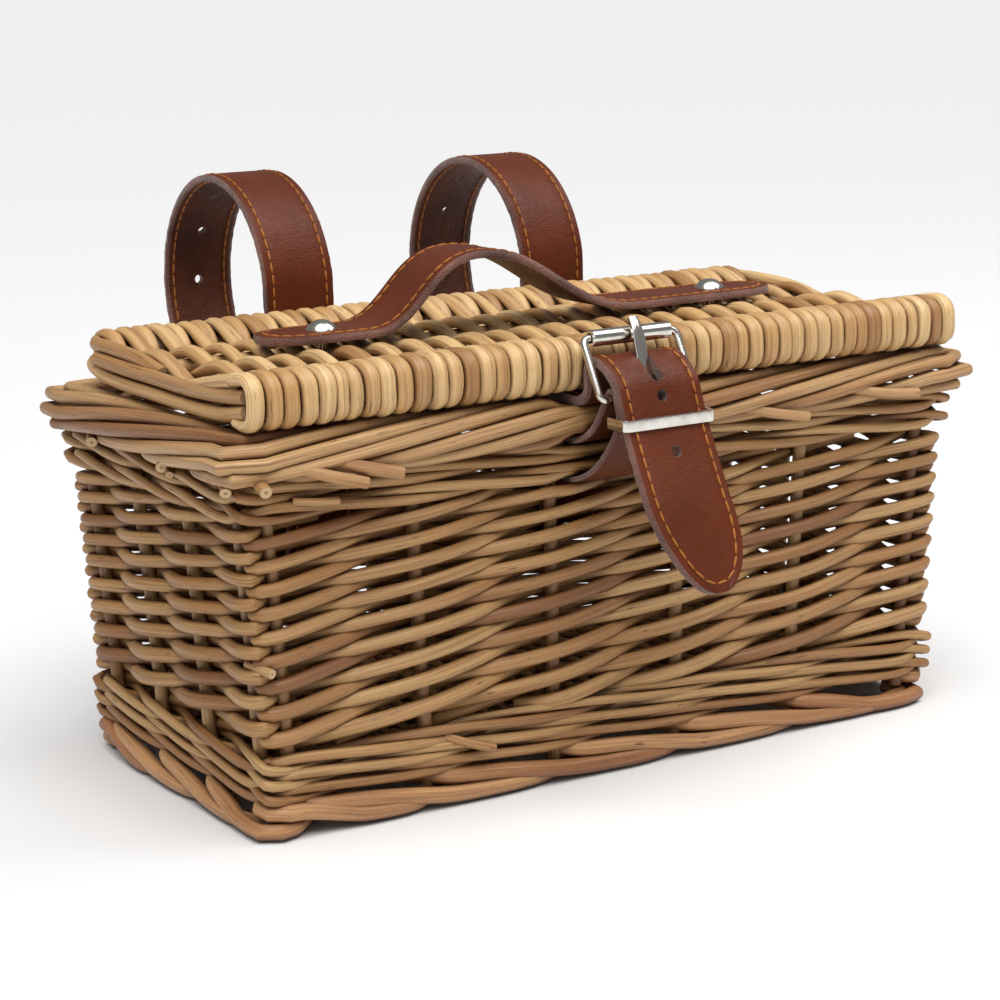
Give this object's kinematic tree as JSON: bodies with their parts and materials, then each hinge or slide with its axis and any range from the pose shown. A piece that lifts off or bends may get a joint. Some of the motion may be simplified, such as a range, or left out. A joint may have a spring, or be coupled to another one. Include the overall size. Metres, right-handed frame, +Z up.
{
  "type": "handlebar bicycle basket",
  "caption": "Woven willow handlebar basket with a hinged lid, a leather carrying handle, a buckled leather closing strap and buckled leather handlebar belts.",
  "frame": {"origin": "on the floor under the middle of the whole object's box, straps included", "axes": "+X along the basket's length, -Y to the front with the closing strap, +Y to the handlebar belts, +Z up"},
  "size_m": [0.2666, 0.2406, 0.173],
  "materials": {
    "willow": "varnished golden willow rods",
    "lid_willow": "varnished pale willow rods",
    "leather": "smooth red-brown leather with raw cut edges",
    "nickel": "polished nickel plate"
  },
  "bodies": {
    "body": {"base_weave": "willow", "foot_border": "willow", "lower_wale": "willow", "front_weave": "willow", "back_weave": "willow", "left_weave": "willow", "right_weave": "willow", "upper_wale": "willow", "top_border": "willow", "stake_front_1": "willow", "stake_front_2": "willow", "stake_front_3": "willow", "stake_front_4": "willow", "stake_front_5": "willow", "stake_front_6": "willow", "stake_back_1": "willow", "stake_back_2": "willow", "stake_back_3": "willow", "stake_back_4": "willow", "stake_back_5": "willow", "stake_back_6": "willow", "stake_left_1": "willow", "stake_left_2": "willow", "stake_left_3": "willow", "stake_left_4": "willow", "stake_right_1": "willow", "stake_right_2": "willow", "stake_right_3": "willow", "stake_right_4": "willow", "hinge_ring_left": "willow", "hinge_ring_right": "willow", "buckle_strap": "leather", "front_frame": "nickel", "front_keeper": "nickel", "left_bar_strap": "leather", "left_bar_frame": "nickel", "right_bar_strap": "leather", "right_bar_frame": "nickel"},
    "lid": {"lid_weave": "lid_willow", "lid_front_rail": "lid_willow", "lid_back_rail": "lid_willow", "lid_stick_front": "lid_willow", "lid_stick_back": "lid_willow", "lid_end_left": "lid_willow", "lid_end_right": "lid_willow", "handle_strap": "leather", "handle_rivet_left": "nickel", "handle_rivet_right": "nickel", "handle_washer_left": "nickel", "handle_washer_right": "nickel", "closing_pin": "nickel"},
    "closing": {"closing_strap": "leather"},
    "front_prong": {"front_prong": "nickel"},
    "front_roller": {"front_roller": "nickel"},
    "left_bar_prong": {"left_bar_prong": "nickel"},
    "left_bar_roller": {"left_bar_roller": "nickel"},
    "right_bar_prong": {"right_bar_prong": "nickel"},
    "right_bar_roller": {"right_bar_roller": "nickel"}
  },
  "joints": [
    {"name": "lid_hinge", "type": "hinge", "parent": "body", "child": "lid", "pos_m": [0, 0.03107, 0.1254], "axis": [-1, 0, 0], "range_deg": [0, 85], "deforming": ["closing_strap"]},
    {"name": "closing_hang", "type": "hinge", "parent": "lid", "child": "closing", "pos_m": [-0.004, -0.07823, 0.1172], "axis": [-1, 0, 0], "range_deg": [-85, 0]},
    {"name": "front_prong_lift", "type": "hinge", "parent": "body", "child": "front_prong", "pos_m": [-0.004, -0.09073, 0.1174], "axis": [1, 0, 0], "range_deg": [0, 45]},
    {"name": "front_roller_spin", "type": "hinge", "parent": "body", "child": "front_roller", "pos_m": [-0.004, -0.08152, 0.13402], "axis": [1, 0, 0], "continuous": true},
    {"name": "left_bar_prong_lift", "type": "hinge", "parent": "body", "child": "left_bar_prong", "pos_m": [-0.04447, 0.06489, 0.06038], "axis": [-1, 0, 0], "range_deg": [0, 25]},
    {"name": "left_bar_roller_spin", "type": "hinge", "parent": "body", "child": "left_bar_roller", "pos_m": [-0.04447, 0.05568, 0.077], "axis": [1, 0, 0], "continuous": true},
    {"name": "right_bar_prong_lift", "type": "hinge", "parent": "body", "child": "right_bar_prong", "pos_m": [0.05247, 0.06489, 0.06038], "axis": [-1, 0, 0], "range_deg": [0, 25]},
    {"name": "right_bar_roller_spin", "type": "hinge", "parent": "body", "child": "right_bar_roller", "pos_m": [0.05247, 0.05568, 0.077], "axis": [1, 0, 0], "continuous": true}
  ],
  "couplings": [
    {"joint": "closing_hang", "follows": "lid_hinge", "ratio": -1}
  ]
}
